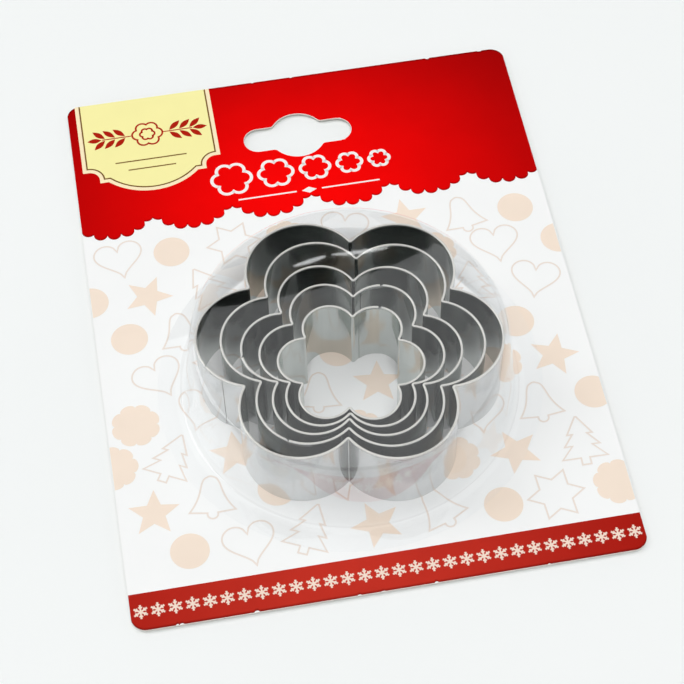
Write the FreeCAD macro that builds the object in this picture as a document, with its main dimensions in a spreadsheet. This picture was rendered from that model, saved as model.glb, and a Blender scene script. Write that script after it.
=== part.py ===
import FreeCAD, Part
import Sketcher
import math
import os

# A carded set of flower cookie cutters: five steel strips bent to six-petal flowers stand one inside
# the other on a printed backing card, under a clear vacuum-formed blister that is sealed to the card.
# Frame: origin under the middle of the card, +Y towards the hang slot, +Z out of the card's front.

SIZES = {
    # Backing card, lying flat, with its euro hang slot
    "card_width": 133.0,
    "card_height": 175.0,
    "card_thick": 0.5,
    "card_corner": 4.0,
    "slot_width": 32.0,
    "slot_height": 8.6,
    "slot_bulge": 16.4,
    "slot_round": 1.5,
    "slot_from_top": 22.8,
    # Where the set stands on the card
    "set_from_bottom": 63.8,
    # The strip that every cutter is bent from, and the lap where its two ends are welded together
    "strip_thick": 0.5,
    "strip_height": 21.7,
    "notch_bend": 0.75,
    "lap_length": 6.0,
    "lap_ease": 1.5,
    # Largest cutter across its petal tips, and how much narrower each next one is
    "cutter_1_across": 81.0,
    "cutter_2_step": 11.5,
    "cutter_3_step": 11.5,
    "cutter_4_step": 9.5,
    "cutter_5_step": 10.0,
    # Outside radius of a petal of each cutter
    "cutter_1_petal": 15.8,
    "cutter_2_petal": 13.7,
    "cutter_3_petal": 11.0,
    "cutter_4_petal": 9.3,
    "cutter_5_petal": 7.2,
    # Each cutter leans towards one side of the one around it: direction in degrees, and gap left there
    "cutter_2_lean_deg": 292.5,
    "cutter_3_lean_deg": 252.0,
    "cutter_4_lean_deg": 263.0,
    "cutter_5_lean_deg": 256.0,
    "cutter_2_gap": 3.6,
    "cutter_3_gap": 2.9,
    "cutter_4_gap": 2.5,
    "cutter_5_gap": 2.1,
    # Direction of the first petal of each cutter, in degrees
    "cutter_1_turn_deg": 49.5,
    "cutter_2_turn_deg": 47.9,
    "cutter_3_turn_deg": 48.6,
    "cutter_4_turn_deg": 48.8,
    "cutter_5_turn_deg": 48.4,
    # Place of the lap: share of the half petal from its tip to its notch
    "cutter_1_lap_share": 0.74,
    "cutter_2_lap_share": 0.45,
    "cutter_3_lap_share": 0.60,
    "cutter_4_lap_share": 0.85,
    "cutter_5_lap_share": 0.85,
    # Blister: film, room around and above the largest cutter, lean of its wall, bends and flange
    "film_thick": 0.4,
    "dome_room": 1.3,
    "dome_headroom": 1.6,
    "dome_draft_deg": 7.0,
    "dome_shoulder": 2.5,
    "dome_foot": 1.4,
    "flange_width": 6.0,
}

PETALS = 6
HALF_PETAL = math.pi / PETALS
CUTTERS = (1, 2, 3, 4, 5)
# Petal that carries each cutter's lap, and whether the strip's free end shows inside the flower
LAP_PETAL = {1: 2, 2: 3, 3: 2, 4: 0, 5: 0}
LAP_INSIDE = {1: False, 2: False, 3: False, 4: True, 5: True}
THROUGH_ALL = 1
TOUCH = 1e-4

doc = FreeCAD.newDocument("flower_cutter_card")
sheet = doc.addObject("Spreadsheet::Sheet", "sizes")
for row, (alias, value) in enumerate(SIZES.items(), start=1):
    sheet.set(f"A{row}", alias)
    sheet.set(f"B{row}", str(value))
    sheet.setAlias(f"B{row}", alias)
doc.recompute()


def new_body(label):
    body = doc.addObject("PartDesign::Body", label)
    body.Label = label
    return body


def new_sketch(body, name, role):
    """Empty sketch lying on one of the body's own origin planes."""
    sketch = body.newObject("Sketcher::SketchObject", name)
    plane = next(item for item in body.Origin.OriginFeatures if item.Role == role)
    sketch.AttachmentSupport = (plane, [""])
    sketch.MapMode = "FlatFace"
    return sketch


def rule(sketch, *words, size=None):
    """Add one constraint; a size is an expression that drives it."""
    index = sketch.addConstraint(Sketcher.Constraint(*words))
    if size is not None:
        sketch.setExpression(f"Constraints[{index}]", size)


def segment(start, end):
    return Part.LineSegment(FreeCAD.Vector(*start, 0), FreeCAD.Vector(*end, 0))


def arc(centre, radius, start, end):
    """Circular arc, counter-clockwise between two angles in degrees."""
    circle = Part.Circle(FreeCAD.Vector(*centre, 0), FreeCAD.Vector(0, 0, 1), radius)
    return Part.ArcOfCircle(circle, math.radians(start), math.radians(end))


def add_pad(body, sketch, name, length):
    pad = body.newObject("PartDesign::Pad", name)
    pad.Profile = sketch
    pad.setExpression("Length", length)
    doc.recompute()
    return pad


def add_fillet(body, base, name, edges, radius):
    fillet = body.newObject("PartDesign::Fillet", name)
    fillet.Base = (base, edges)
    fillet.setExpression("Radius", radius)
    doc.recompute()
    return fillet


def upright_edges(shape):
    """Names and XY places of the straight edges that run along Z."""
    found = []
    for number, edge in enumerate(shape.Edges, start=1):
        ends = [vertex.Point for vertex in edge.Vertexes]
        if len(ends) != 2 or not isinstance(edge.Curve, Part.Line):
            continue
        if math.hypot(ends[0].x - ends[1].x, ends[0].y - ends[1].y) < TOUCH:
            found.append((f"Edge{number}", ends[0].x, ends[0].y))
    return found


def cut_through(body, sketch, name):
    """Pocket from the card's back right through its front; it must take material away."""
    before = body.Shape.Volume
    pocket = body.newObject("PartDesign::Pocket", name)
    pocket.Profile = sketch
    pocket.Type = THROUGH_ALL
    pocket.Reversed = True
    doc.recompute()
    if pocket.Shape.Volume > before - TOUCH:
        raise RuntimeError(f"{name} cut nothing")
    return pocket


def card_blank(body):
    """Plain rectangle of board, centred on the origin."""
    sketch = new_sketch(body, "card_outline", "XY_Plane")
    x = SIZES["card_width"] / 2
    y = SIZES["card_height"] / 2
    corners = [(-x, -y), (x, -y), (x, y), (-x, y)]
    for number in range(4):
        sketch.addGeometry(segment(corners[number], corners[(number + 1) % 4]), False)
    for number in range(4):
        rule(sketch, "Coincident", number, 2, (number + 1) % 4, 1)
    rule(sketch, "Horizontal", 0)
    rule(sketch, "Horizontal", 2)
    rule(sketch, "Vertical", 1)
    rule(sketch, "Vertical", 3)
    rule(sketch, "Symmetric", 0, 1, 2, 1, -1, 1)
    rule(sketch, "DistanceX", 0, 1, 0, 2, 2 * x, size="sizes.card_width")
    rule(sketch, "DistanceY", 1, 1, 1, 2, 2 * y, size="sizes.card_height")
    return add_pad(body, sketch, "card_board", "sizes.card_thick")


def slot_band(body):
    """Long rounded band of the euro slot."""
    sketch = new_sketch(body, "slot_band_outline", "XY_Plane")
    r = SIZES["slot_height"] / 2
    x = SIZES["slot_width"] / 2 - r
    y = SIZES["card_height"] / 2 - SIZES["slot_from_top"]
    sketch.addGeometry(arc((x, y), r, -90, 90), False)
    sketch.addGeometry(segment((x, y + r), (-x, y + r)), False)
    sketch.addGeometry(arc((-x, y), r, 90, 270), False)
    sketch.addGeometry(segment((-x, y - r), (x, y - r)), False)
    rule(sketch, "Tangent", 0, 2, 1, 1)
    rule(sketch, "Tangent", 1, 2, 2, 1)
    rule(sketch, "Tangent", 2, 2, 3, 1)
    rule(sketch, "Tangent", 3, 2, 0, 1)
    rule(sketch, "Equal", 0, 2)
    rule(sketch, "Symmetric", 0, 3, 2, 3, -2)
    rule(sketch, "Radius", 0, r, size="sizes.slot_height / 2")
    rule(sketch, "DistanceX", 2, 3, 0, 3, 2 * x, size="sizes.slot_width - sizes.slot_height")
    rule(sketch, "DistanceY", -1, 1, 0, 3, y, size="sizes.card_height / 2 - sizes.slot_from_top")
    return cut_through(body, sketch, "slot_band")


def slot_bulge(body):
    """Round bulge in the middle of the slot, for a peg."""
    sketch = new_sketch(body, "slot_bulge_outline", "XY_Plane")
    r = SIZES["slot_bulge"] / 2
    y = SIZES["card_height"] / 2 - SIZES["slot_from_top"]
    sketch.addGeometry(Part.Circle(FreeCAD.Vector(0, y, 0), FreeCAD.Vector(0, 0, 1), r), False)
    rule(sketch, "PointOnObject", 0, 3, -2)
    rule(sketch, "Radius", 0, r, size="sizes.slot_bulge / 2")
    rule(sketch, "DistanceY", -1, 1, 0, 3, y, size="sizes.card_height / 2 - sizes.slot_from_top")
    return cut_through(body, sketch, "slot_bulge")


def make_card():
    """Die-cut backing card with rounded corners and a hang slot."""
    body = new_body("backing_card")
    blank = card_blank(body)
    edges = [name for name, x, y in upright_edges(blank.Shape)]
    add_fillet(body, blank, "card_corners", edges, "sizes.card_corner")
    slot_band(body)
    slot = slot_bulge(body)
    # The four inner corners of the slot lie where the bulge's circle crosses the band's edges
    half = SIZES["slot_height"] / 2
    reach = math.sqrt((SIZES["slot_bulge"] / 2) ** 2 - half ** 2)
    y_slot = SIZES["card_height"] / 2 - SIZES["slot_from_top"]
    inner = [
        name
        for name, x, y in upright_edges(slot.Shape)
        if abs(abs(x) - reach) < TOUCH and abs(abs(y - y_slot) - half) < TOUCH
    ]
    add_fillet(body, slot, "slot_corners", inner, "sizes.slot_round")
    return body


def cutter_across(number):
    """Expression for a cutter's width across its petal tips."""
    steps = [f"sizes.cutter_{inner}_step" for inner in CUTTERS[1:number]]
    return "(" + " - ".join(["sizes.cutter_1_across"] + steps) + ")"


def petal_ring(number):
    """Expression for the distance from a cutter's middle to its petal centres."""
    return f"({cutter_across(number)} / 2 - sizes.cutter_{number}_petal)"


def petal_sizes(number):
    """Present petal radius, ring radius, distance of the notch bend's centre, and half petal angle."""
    across = SIZES["cutter_1_across"] - sum(SIZES[f"cutter_{n}_step"] for n in CUTTERS[1:number])
    radius = SIZES[f"cutter_{number}_petal"]
    ring = across / 2 - radius
    reach = radius + SIZES["notch_bend"]
    bend = ring * math.cos(HALF_PETAL) + math.sqrt(reach ** 2 - (ring * math.sin(HALF_PETAL)) ** 2)
    angle = HALF_PETAL + math.asin(ring * math.sin(HALF_PETAL) / reach)
    return radius, ring, bend, math.degrees(angle)


def petal_angle(number):
    """Expression for the angle from a petal's tip to where its arc runs into the notch."""
    half = f"180 deg / {PETALS}"
    reach = f"(sizes.cutter_{number}_petal + sizes.notch_bend)"
    return f"({half} + asin({petal_ring(number)} * sin({half}) / {reach}))"


def petal_sector(body, number):
    """One sixth of the flower: a petal arc, half a notch bend at each side, two lines from the middle."""
    sketch = new_sketch(body, f"petal_{number}", "XY_Plane")
    radius, ring, bend, angle = petal_sizes(number)
    half = math.degrees(HALF_PETAL)
    notch = SIZES["notch_bend"]
    x = math.cos(HALF_PETAL)
    y = math.sin(HALF_PETAL)
    near = bend - notch
    sketch.addGeometry(segment((0, 0), (near * x, -near * y)), False)
    sketch.addGeometry(arc((bend * x, -bend * y), notch, 180 - angle, 180 - half), False)
    sketch.addGeometry(arc((ring, 0), radius, -angle, angle), False)
    sketch.addGeometry(arc((bend * x, bend * y), notch, 180 + half, 180 + angle), False)
    sketch.addGeometry(segment((near * x, near * y), (0, 0)), False)
    rule(sketch, "Coincident", 0, 1, -1, 1)
    rule(sketch, "Coincident", 4, 2, -1, 1)
    rule(sketch, "Coincident", 0, 2, 1, 2)
    rule(sketch, "Coincident", 4, 1, 3, 1)
    rule(sketch, "Tangent", 1, 1, 2, 1)
    rule(sketch, "Tangent", 3, 2, 2, 2)
    rule(sketch, "PointOnObject", 1, 3, 0)
    rule(sketch, "PointOnObject", 3, 3, 4)
    rule(sketch, "PointOnObject", 2, 3, -1)
    rule(sketch, "Angle", 0, 1, -1, 1, HALF_PETAL)
    rule(sketch, "Angle", 0, 1, 4, 2, 2 * HALF_PETAL)
    rule(sketch, "Equal", 1, 3)
    rule(sketch, "Radius", 1, notch, size="sizes.notch_bend")
    rule(sketch, "Radius", 2, radius, size=f"sizes.cutter_{number}_petal")
    rule(sketch, "DistanceX", -1, 1, 2, 3, ring, size=petal_ring(number))
    return sketch


def flower_plug(body, number):
    """Solid flower: one petal sector repeated round the middle."""
    sector = add_pad(body, petal_sector(body, number), f"sector_{number}", "sizes.strip_height")
    flower = body.newObject("PartDesign::PolarPattern", f"flower_{number}")
    flower.Originals = [sector]
    flower.Axis = (sector.Profile[0], ["N_Axis"])
    flower.Angle = 360
    flower.Occurrences = PETALS
    body.Tip = flower
    doc.recompute()
    return flower


def strip_wall(body, plug, number):
    """Hollow the plug from both ends, which leaves the bent strip."""
    ends = [
        f"Face{index}"
        for index, face in enumerate(plug.Shape.Faces, start=1)
        if isinstance(face.Surface, Part.Plane)
    ]
    wall = body.newObject("PartDesign::Thickness", f"strip_{number}")
    wall.Base = (plug, ends)
    wall.Reversed = True
    wall.setExpression("Value", "sizes.strip_thick")
    doc.recompute()
    if wall.Shape.Volume > plug.Shape.Volume / 2:
        raise RuntimeError(f"cutter {number} is not hollow")
    return wall


def strip_lap(body, number):
    """Second layer of strip where the ends overlap: square at its free end, eased down at the other."""
    radius, ring, bend, angle = petal_sizes(number)
    thick = SIZES["strip_thick"]
    inside = LAP_INSIDE[number]
    seat = radius - thick / 2
    face = radius - 2 * thick if inside else radius + thick
    end = SIZES[f"cutter_{number}_lap_share"] * angle
    far = end - math.degrees(SIZES["lap_length"] / radius)
    eased = far - math.degrees(SIZES["lap_ease"] / radius)

    def at(distance, degrees):
        turn = math.radians(degrees)
        return ring + distance * math.cos(turn), distance * math.sin(turn)

    petal = f"sizes.cutter_{number}_petal"
    shift = "-2 * sizes.strip_thick" if inside else "+ sizes.strip_thick"
    sketch = new_sketch(body, f"lap_outline_{number}", "XY_Plane")
    place = FreeCAD.Placement()
    place.Rotation = FreeCAD.Rotation(FreeCAD.Vector(0, 0, 1), LAP_PETAL[number] * 360 / PETALS)
    sketch.AttachmentOffset = place
    sketch.addGeometry(arc((ring, 0), face, far, end), False)
    sketch.addGeometry(segment(at(face, end), at(seat, end)), False)
    sketch.addGeometry(arc((ring, 0), seat, eased, end), False)
    sketch.addGeometry(segment(at(seat, eased), at(face, far)), False)
    rule(sketch, "Coincident", 0, 2, 1, 1)
    rule(sketch, "Coincident", 1, 2, 2, 2)
    rule(sketch, "Coincident", 2, 1, 3, 1)
    rule(sketch, "Coincident", 3, 2, 0, 1)
    rule(sketch, "Coincident", 0, 3, 2, 3)
    rule(sketch, "PointOnObject", 0, 3, -1)
    rule(sketch, "DistanceX", -1, 1, 0, 3, ring, size=petal_ring(number))
    rule(sketch, "Radius", 0, face, size=f"{petal} {shift}")
    rule(sketch, "Radius", 2, seat, size=f"{petal} - sizes.strip_thick / 2")
    # Lines from the petal's centre give the three angles of the lap
    for guide, (distance, degrees) in enumerate(((face, end), (face, far), (seat, eased)), start=4):
        sketch.addGeometry(segment((ring, 0), at(distance, degrees)), True)
        rule(sketch, "Coincident", guide, 1, 0, 3)
    rule(sketch, "Coincident", 4, 2, 0, 2)
    rule(sketch, "Coincident", 5, 2, 0, 1)
    rule(sketch, "Coincident", 6, 2, 2, 1)
    rule(sketch, "PointOnObject", 2, 2, 4)
    turn_of = "180 deg / pi"
    lap_end = f"sizes.cutter_{number}_lap_share * {petal_angle(number)}"
    rule(sketch, "Angle", -1, 1, 4, 1, math.radians(end), size=lap_end)
    rule(sketch, "Angle", 5, 1, 4, 1, math.radians(end - far),
         size=f"sizes.lap_length / {petal} * {turn_of}")
    rule(sketch, "Angle", 6, 1, 5, 1, math.radians(far - eased),
         size=f"sizes.lap_ease / {petal} * {turn_of}")
    return add_pad(body, sketch, f"lap_{number}", "sizes.strip_height")


def make_cutter(number):
    """One cutter: strip bent to a flower and welded at a lap, standing on the card."""
    body = new_body(f"flower_cutter_{number}")
    strip_wall(body, flower_plug(body, number), number)
    strip_lap(body, number)
    turn = FreeCAD.Rotation(FreeCAD.Vector(0, 0, 1), SIZES[f"cutter_{number}_turn_deg"])
    body.Placement = FreeCAD.Placement(FreeCAD.Vector(), turn)
    x = ["0 mm"]
    y = ["(sizes.set_from_bottom - sizes.card_height / 2) * 1 mm"]
    for inner in CUTTERS[1:number]:
        lean = f"sizes.cutter_{inner}_lean_deg * 1 deg"
        reach = f"(sizes.cutter_{inner}_step / 2 - sizes.strip_thick - sizes.cutter_{inner}_gap)"
        x.append(f"{reach} * cos({lean}) * 1 mm")
        y.append(f"{reach} * sin({lean}) * 1 mm")
    body.setExpression("Placement.Base.x", " + ".join(x))
    body.setExpression("Placement.Base.y", " + ".join(y))
    body.setExpression("Placement.Base.z", "sizes.card_thick * 1 mm")
    body.setExpression("Placement.Rotation.Angle", f"sizes.cutter_{number}_turn_deg * 1 deg")
    return body


def blister_section(body):
    """Half section of the blister, one film thick: flange, foot bend, leaning wall, shoulder, flat top."""
    sketch = new_sketch(body, "blister_section", "XZ_Plane")
    film = SIZES["film_thick"]
    draft = SIZES["dome_draft_deg"]
    under = SIZES["strip_height"] + SIZES["dome_headroom"]
    foot = SIZES["dome_foot"]
    shoulder = SIZES["dome_shoulder"]
    lean = (math.cos(math.radians(draft)), math.sin(math.radians(draft)))

    def on(centre, radius, degrees):
        turn = math.radians(degrees)
        return centre[0] + radius * math.cos(turn), centre[1] + radius * math.sin(turn)

    # Centres of the two bends: the wall runs between them, square to its own lean
    inner = shoulder - film
    top = (SIZES["cutter_1_across"] / 2 + SIZES["dome_room"] - inner * lean[0], under - inner)
    drop = top[1] - film - foot
    low = (top[0] + ((shoulder + foot) + drop * lean[1]) / lean[0], film + foot)
    rim = low[0] + SIZES["flange_width"]
    sketch.addGeometry(segment((rim, 0), (rim, film)), False)
    sketch.addGeometry(segment((rim, film), (low[0], film)), False)
    sketch.addGeometry(arc(low, foot, 180 + draft, 270), False)
    sketch.addGeometry(segment(on(low, foot, 180 + draft), on(top, shoulder, draft)), False)
    sketch.addGeometry(arc(top, shoulder, draft, 90), False)
    sketch.addGeometry(segment((top[0], under + film), (0, under + film)), False)
    sketch.addGeometry(segment((0, under + film), (0, under)), False)
    sketch.addGeometry(segment((0, under), (top[0], under)), False)
    sketch.addGeometry(arc(top, inner, draft, 90), False)
    sketch.addGeometry(segment(on(top, inner, draft), on(low, foot + film, 180 + draft)), False)
    sketch.addGeometry(arc(low, foot + film, 180 + draft, 270), False)
    sketch.addGeometry(segment((low[0], 0), (rim, 0)), False)
    for joint in ((1, 2, 2, 2), (2, 1, 3, 1), (3, 2, 4, 1), (4, 2, 5, 1),
                  (7, 2, 8, 2), (8, 1, 9, 1), (9, 2, 10, 1), (10, 2, 11, 1)):
        rule(sketch, "Tangent", *joint)
    for joint in ((0, 2, 1, 1), (5, 2, 6, 1), (6, 2, 7, 1), (11, 2, 0, 1), (2, 3, 10, 3), (4, 3, 8, 3)):
        rule(sketch, "Coincident", *joint)
    for level in (1, 5, 7, 11):
        rule(sketch, "Horizontal", level)
    for upright in (0, 6):
        rule(sketch, "Vertical", upright)
    rule(sketch, "PointOnObject", 6, 1, -2)
    rule(sketch, "PointOnObject", 11, 2, -1)
    rule(sketch, "Radius", 2, foot, size="sizes.dome_foot")
    rule(sketch, "Radius", 10, foot + film, size="sizes.dome_foot + sizes.film_thick")
    rule(sketch, "Radius", 4, shoulder, size="sizes.dome_shoulder")
    rule(sketch, "Radius", 8, inner, size="sizes.dome_shoulder - sizes.film_thick")
    rule(sketch, "DistanceX", 1, 2, 1, 1, SIZES["flange_width"], size="sizes.flange_width")
    rule(sketch, "DistanceX", -1, 1, 9, 1, top[0] + inner * lean[0],
         size="sizes.cutter_1_across / 2 + sizes.dome_room")
    rule(sketch, "DistanceY", -1, 1, 7, 1, under, size="sizes.strip_height + sizes.dome_headroom")
    rule(sketch, "Angle", 11, 1, 9, 2, math.radians(90 + draft), size="(90 + sizes.dome_draft_deg) * 1 deg")
    return sketch


def make_blister():
    """Clear vacuum-formed cover: a drafted round dome with a flat flange, lying on the card."""
    body = new_body("blister")
    section = blister_section(body)
    shell = body.newObject("PartDesign::Revolution", "blister_shell")
    shell.Profile = section
    shell.ReferenceAxis = (section, ["V_Axis"])
    shell.Angle = 360
    doc.recompute()
    body.setExpression("Placement.Base.y", "(sizes.set_from_bottom - sizes.card_height / 2) * 1 mm")
    body.setExpression("Placement.Base.z", "sizes.card_thick * 1 mm")
    return body


def check(bodies):
    """Stop unless every feature was made and every piece is one valid solid."""
    for item in doc.Objects:
        if "Invalid" in item.State or "Error" in item.State:
            raise RuntimeError(f"{item.Label} failed: {item.State}")
    for body in bodies:
        if body.Shape.isNull() or not body.Shape.isValid() or len(body.Shape.Solids) != 1:
            raise RuntimeError(f"{body.Label} is not one valid solid")


pieces = [make_card()] + [make_cutter(number) for number in CUTTERS] + [make_blister()]
doc.recompute()
check(pieces)
os.makedirs("parts", exist_ok=True)
for piece in pieces:
    piece.Shape.exportStep(f"parts/{piece.Label}.step")
    box = piece.Shape.BoundBox
    print(f"{piece.Label}: {box.XLength:.2f} x {box.YLength:.2f} x {box.ZLength:.2f} mm")
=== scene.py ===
import bpy
import numpy as np
from mathutils import Matrix, Vector


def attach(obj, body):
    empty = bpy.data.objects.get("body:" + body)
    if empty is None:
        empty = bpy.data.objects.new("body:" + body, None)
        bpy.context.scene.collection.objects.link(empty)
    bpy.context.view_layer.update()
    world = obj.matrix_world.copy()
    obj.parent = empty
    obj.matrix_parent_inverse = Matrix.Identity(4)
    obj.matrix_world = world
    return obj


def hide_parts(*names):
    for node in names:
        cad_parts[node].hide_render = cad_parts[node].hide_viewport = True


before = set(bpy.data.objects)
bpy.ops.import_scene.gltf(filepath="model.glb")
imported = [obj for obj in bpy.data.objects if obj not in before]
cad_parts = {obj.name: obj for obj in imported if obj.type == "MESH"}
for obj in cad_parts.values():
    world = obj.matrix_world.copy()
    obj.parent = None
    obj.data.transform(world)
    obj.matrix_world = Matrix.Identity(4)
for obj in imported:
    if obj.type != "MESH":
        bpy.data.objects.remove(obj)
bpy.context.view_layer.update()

# Backing card: white board, die-cut with rounded corners and a euro hang slot. Its front is coated smooth
# for printing; the back is bare greyish pulp, and the cut edges show the fibres of the board.
MM = 0.001
CARD_WIDTH, CARD_HEIGHT, CARD_CORNER = 133.0, 175.0, 4.0
FIBRE_SCALE, FIBRE_ROUGHNESS, CLOUD_SCALE = 2600.0, 0.14, 95.0
DUST_SCALE, DUST_SIZE, DUST_FREE, DUST_TONE = 85.0, 0.016, 0.62, (0.86, 0.84, 0.82, 1.0)
PAPER_RELIEF, PAPER_DEPTH, PAPER_SHINE = 0.12, 0.02, 0.36
PULP_SCALE, PULP_LAYERS, FRONT_LEAST = 900.0, (1.0, 1.0, 9.0), 0.6


def srgb(red, green, blue):
    """Linear colour with alpha from 0-255 screen values: ((c + 0.055) / 1.055) ** 2.4, or c / 12.92 near black."""
    screen = np.array((red, green, blue)) / 255
    linear = np.where(screen > 0.04045, ((screen + 0.055) / 1.055) ** 2.4, screen / 12.92)
    return (*linear.tolist(), 1.0)


def feed(tree, node, inputs):
    """Give input sockets, by name or number, a value each, or a link where the value is another node's output."""
    for socket, value in inputs.items():
        if isinstance(value, bpy.types.NodeSocket):
            tree.links.new(value, node.inputs[socket])
        else:
            node.inputs[socket].default_value = value


def add_node(tree, kind, inputs=None, **properties):
    """One shader node with its properties set and its inputs fed."""
    made = tree.nodes.new(kind)
    for key, value in properties.items():
        setattr(made, key, value)
    feed(tree, made, inputs or {})
    return made


def maths(tree, operation, *values):
    """Result of one math node over numbers or other nodes' outputs."""
    return add_node(tree, "ShaderNodeMath", dict(enumerate(values)), operation=operation).outputs[0]


def noise(tree, place, scale, detail, roughness=0.5):
    """Cloudy noise between 0 and 1 over a place vector."""
    inputs = {"Vector": place, "Scale": scale, "Detail": detail, "Roughness": roughness}
    return add_node(tree, "ShaderNodeTexNoise", inputs).outputs["Fac"]


def mix(tree, factor, first, second, blend="MIX"):
    """First colour, replaced or multiplied by the second as the factor goes from 0 to 1."""
    inputs = {"Factor": factor, "A": first, "B": second}
    return add_node(tree, "ShaderNodeMix", inputs, data_type="RGBA", blend_type=blend).outputs["Result"]


def ramp(tree, value, *stops):
    """Colour ramp over a value; each of the two stops is a position and a colour."""
    made = add_node(tree, "ShaderNodeValToRGB", {"Fac": value})
    for element, (position, colour) in zip(made.color_ramp.elements, stops):
        element.position, element.color = position, colour
    return made.outputs["Color"]


def part_of(tree, vector, axis):
    """One axis of a vector."""
    return add_node(tree, "ShaderNodeSeparateXYZ", {0: vector}).outputs[axis]


def bump(tree, height, strength, depth):
    """Normal bent by a height; the depth is in millimetres."""
    inputs = {"Height": height, "Strength": strength, "Distance": depth * MM}
    return add_node(tree, "ShaderNodeBump", inputs).outputs["Normal"]


def new_finish(name, values):
    """Material with one Principled shader; values are those of its sockets that are the same all over."""
    finish = bpy.data.materials.new(name)
    finish.use_nodes = True
    tree = finish.node_tree
    shader = tree.nodes["Principled BSDF"]
    feed(tree, shader, values)
    return finish, tree, shader


def printed_surface_group():
    """Coated board under ink: the colour is mottled by slow noise and flecked with a few pale specks of dust;
    roughness and height follow the fine fibre noise of the paper."""
    group = bpy.data.node_groups.new("printed_surface", "ShaderNodeTree")
    for way, kind, names in (
        ("INPUT", "NodeSocketColor", ["Ink"]),
        ("INPUT", "NodeSocketFloat", ["Mottle", "Specks", "Shine"]),
        ("OUTPUT", "NodeSocketColor", ["Colour"]),
        ("OUTPUT", "NodeSocketFloat", ["Roughness", "Height"]),
    ):
        for name in names:
            group.interface.new_socket(name, in_out=way, socket_type=kind)
    given = group.nodes.new("NodeGroupInput").outputs
    place = group.nodes.new("ShaderNodeTexCoord").outputs["Object"]
    fibre = noise(group, place, FIBRE_SCALE, detail=3.0, roughness=0.6)
    cloud = noise(group, place, CLOUD_SCALE, detail=2.0)
    shade = maths(group, "MULTIPLY", maths(group, "SUBTRACT", cloud, 0.5), given["Mottle"])
    inked = mix(group, 1.0, given["Ink"], maths(group, "SUBTRACT", 1.0, shade), "MULTIPLY")
    dust = add_node(group, "ShaderNodeTexVoronoi", {"Vector": place, "Scale": DUST_SCALE, "Randomness": 1.0})
    speck = maths(group, "LESS_THAN", dust.outputs["Distance"], DUST_SIZE)
    cell = add_node(group, "ShaderNodeSeparateColor", {0: dust.outputs["Color"]}).outputs["Red"]
    fleck = maths(group, "MULTIPLY", speck, maths(group, "GREATER_THAN", cell, DUST_FREE))
    dusted = mix(group, maths(group, "MULTIPLY", fleck, given["Specks"]), inked, DUST_TONE)
    rough = maths(group, "MULTIPLY_ADD", fibre, FIBRE_ROUGHNESS, given["Shine"])
    add_node(group, "NodeGroupOutput", {"Colour": dusted, "Roughness": rough, "Height": fibre})
    return group


printed_surface = printed_surface_group()


def place_print(tree, shader, ink, mottle, specks, shine=PAPER_SHINE):
    """Put the printed surface into a material: roughness and relief go to the shader, the colour is handed back."""
    inputs = {"Ink": ink, "Mottle": mottle, "Specks": specks, "Shine": shine}
    sheet = add_node(tree, "ShaderNodeGroup", inputs, node_tree=printed_surface).outputs
    relief = bump(tree, sheet["Height"], PAPER_RELIEF, PAPER_DEPTH)
    feed(tree, shader, {"Roughness": sheet["Roughness"], "Normal": relief})
    return sheet["Colour"]


def board_finish():
    """White coating on the front, bare pulp on every other face, told apart by the upward part of the normal."""
    finish, tree, shader = new_finish("white_coated_board", {"Specular IOR Level": 0.25})
    coat = place_print(tree, shader, srgb(249, 250, 249), mottle=0.03, specks=0.0)
    upward = part_of(tree, tree.nodes.new("ShaderNodeNewGeometry").outputs["Normal"], "Z")
    front = maths(tree, "GREATER_THAN", upward, FRONT_LEAST)
    place = tree.nodes.new("ShaderNodeTexCoord").outputs["Object"]
    layers = add_node(tree, "ShaderNodeMapping", {"Vector": place, "Scale": PULP_LAYERS}).outputs["Vector"]
    pulp = noise(tree, layers, PULP_SCALE, detail=4.0, roughness=0.7)
    bare = ramp(tree, pulp, (0.3, srgb(196, 190, 180)), (0.7, srgb(232, 228, 220)))
    feed(tree, shader, {"Base Color": mix(tree, front, bare, coat)})
    return finish


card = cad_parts["backing_card"]
card.data.materials.clear()
card.data.materials.append(board_finish())


# Red print: the header with a scalloped lace edge over the whole card's width, and a plain band at the foot.
# Two reds, offset-printed on the coated board, both deeper away from their middles; die-cutting chips them along
# the card's edges and the slot. A thin rim of painted shade darkens them along the card's top and bottom edges
# and the header's lace.
INK_LEVEL, INK_STEP, INK_THICK = 0.53, 0.02, 0.015
SLOT_Y, SLOT_BAND, SLOT_BULGE, SLOT_END, SLOT_ROUND = 64.7, 4.3, 8.2, 11.7, 1.5
LACE_PITCH, LACE_PEAK_X, LACE_LOBE = 23.05, 0.2, 1.96
LACE_LOBES = ((1.69, 42.6), (4.44, 40.0), (7.7, 38.2), (11.525, 37.8))
FOOT_TOP, PRINT_COLUMNS, SIDE_BARE = -77.0, 1801, 0.06
NICKS, NICK_LENGTH, NICK_DEPTH, HAIR_BARE = 7, (0.25, 0.7), (0.12, 0.42), 0.05
SLOT_CHIPS, SLOT_BARE_MOST = 0.6, 0.5
TOP_SEED, SLOT_SEED, FOOT_SEED = 1, 2, 3
RIM_WIDTH, RIM_DEPTH, RIM_SHADE_TONE = 0.9, 0.8, (0.38, 0.3, 0.3, 1.0)
HEADER_GLOW, FOOTER_GLOW, GLOW_REACH = (-2.2, 41.3), (-8.0, -82.0), (107.0, 87.5)


def grid_quads(rows, columns, close_columns=False):
    """Quads between neighbouring points of a grid numbered row by row; closed columns join the last to the first."""
    row = np.arange(rows - 1)[:, None] * columns
    column = np.arange(columns if close_columns else columns - 1)
    after = (column + 1) % columns
    above = row + columns
    return np.stack([row + column, row + after, above + after, above + column], axis=-1).reshape(-1, 4)


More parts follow.
